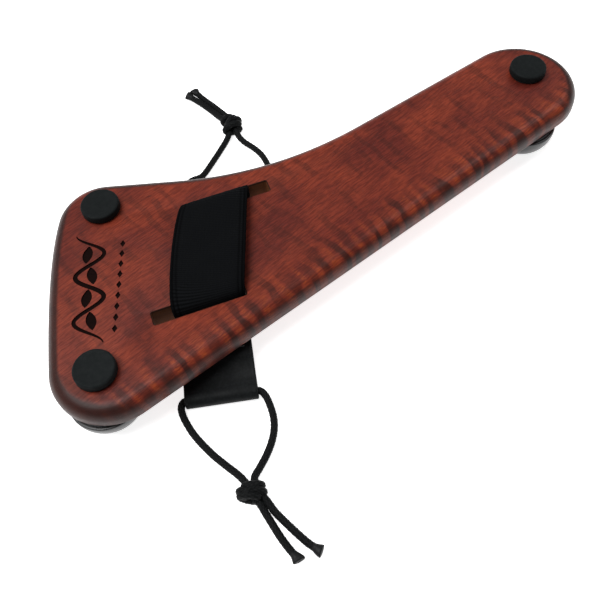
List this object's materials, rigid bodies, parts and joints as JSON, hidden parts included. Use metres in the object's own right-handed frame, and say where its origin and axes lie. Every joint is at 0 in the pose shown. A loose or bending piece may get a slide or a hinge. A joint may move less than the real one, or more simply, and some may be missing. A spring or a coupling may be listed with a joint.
{
  "type": "violin shoulder rest",
  "caption": "Kidney-shaped maple plate with rubber feet, domed shoulder pads and a slotted elastic strap ending in cord loops that hook it to the back of a violin.",
  "frame": {"origin": "on the surface that the shoulder pads stand on, below the middle of the plate, tabs and pads taken together", "axes": "+X along the plate's length, parallel to the slots, from the wide end to the narrow end; +Z out of the face that meets the violin; +Y completes the frame, towards the plate's hollow edge"},
  "size_m": [0.2602, 0.2421, 0.0306],
  "materials": {
    "maple": "satin stain on flamed maple",
    "rubber": "matte",
    "pad_rubber": "smooth, slightly glossy",
    "adhesive_tape": "matte foam",
    "elastic": "woven elastic with cross ribs",
    "leather": "smooth imitation leather",
    "thread": "sewing thread",
    "cord": "braided cord"
  },
  "bodies": {
    "root": {"plate": "maple", "foot_tape_wide_upper": "adhesive_tape", "rubber_foot_wide_upper": "rubber", "foot_tape_wide_lower": "adhesive_tape", "rubber_foot_wide_lower": "rubber", "foot_tape_narrow": "adhesive_tape", "rubber_foot_narrow": "rubber", "shoulder_pad_wide_upper": "pad_rubber", "pad_tape_wide_upper": "adhesive_tape", "shoulder_pad_wide_lower": "pad_rubber", "pad_tape_wide_lower": "adhesive_tape", "shoulder_pad_narrow": "pad_rubber", "pad_tape_narrow": "adhesive_tape", "elastic_strap": "elastic"},
    "lower_end": {"lower_tab": "leather", "lower_seam_thread": "thread"},
    "lower_loop": {"lower_cord_left": "cord", "lower_cord_right": "cord", "lower_knot": "cord", "lower_tail_a": "cord", "lower_tip_a": "cord", "lower_tail_b": "cord", "lower_tip_b": "cord"},
    "upper_end": {"upper_tab": "leather", "upper_seam_thread": "thread"},
    "upper_loop": {"upper_cord_left": "cord", "upper_cord_right": "cord", "upper_knot": "cord", "upper_tail_a": "cord", "upper_tip_a": "cord", "upper_tail_b": "cord", "upper_tip_b": "cord"}
  },
  "joints": [
    {"name": "lower_end_stretch", "type": "slide", "parent": "root", "child": "lower_end", "axis": [-0.2113, -0.9774, 0], "range_m": [0, 0.02], "stiffness_N_per_m": 150},
    {"name": "lower_loop_swing", "type": "hinge", "parent": "lower_end", "child": "lower_loop", "pos_m": [-0.07097, -0.05511, 0.0034], "axis": [-0.9774, 0.2113, 0], "range_deg": [0, 90]},
    {"name": "upper_end_stretch", "type": "slide", "parent": "root", "child": "upper_end", "axis": [0.3502, 0.9367, 0], "range_m": [0, 0.02], "stiffness_N_per_m": 150},
    {"name": "upper_loop_swing", "type": "hinge", "parent": "upper_end", "child": "upper_loop", "pos_m": [-0.0376, 0.0459, 0.0034], "axis": [0.9367, -0.3502, 0], "range_deg": [0, 90]}
  ]
}
